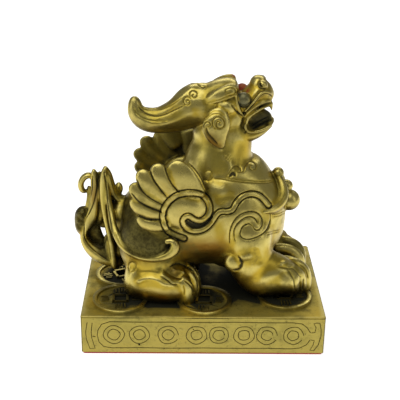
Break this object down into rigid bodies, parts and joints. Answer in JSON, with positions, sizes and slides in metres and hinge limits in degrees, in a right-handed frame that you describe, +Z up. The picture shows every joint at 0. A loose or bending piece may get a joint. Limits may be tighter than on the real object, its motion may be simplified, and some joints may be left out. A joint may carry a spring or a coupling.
{
  "type": "pixiu figurine",
  "caption": "Cast brass winged pixiu standing on a rectangular plinth with relief cash coins under its paws, felt glued to the underside.",
  "frame": {"origin": "centre of the felt's underside, under the middle of the plinth", "axes": "+X the way the beast faces, along the plinth's length; +Y to the beast's left; +Z up"},
  "size_m": [0.1206, 0.076, 0.1263],
  "materials": {
    "brass": "polished, with dark patina in the hollows",
    "felt": "matt felt"
  },
  "bodies": {
    "root": {"pixiu_casting": "brass", "felt_pad": "felt"}
  },
  "joints": []
}
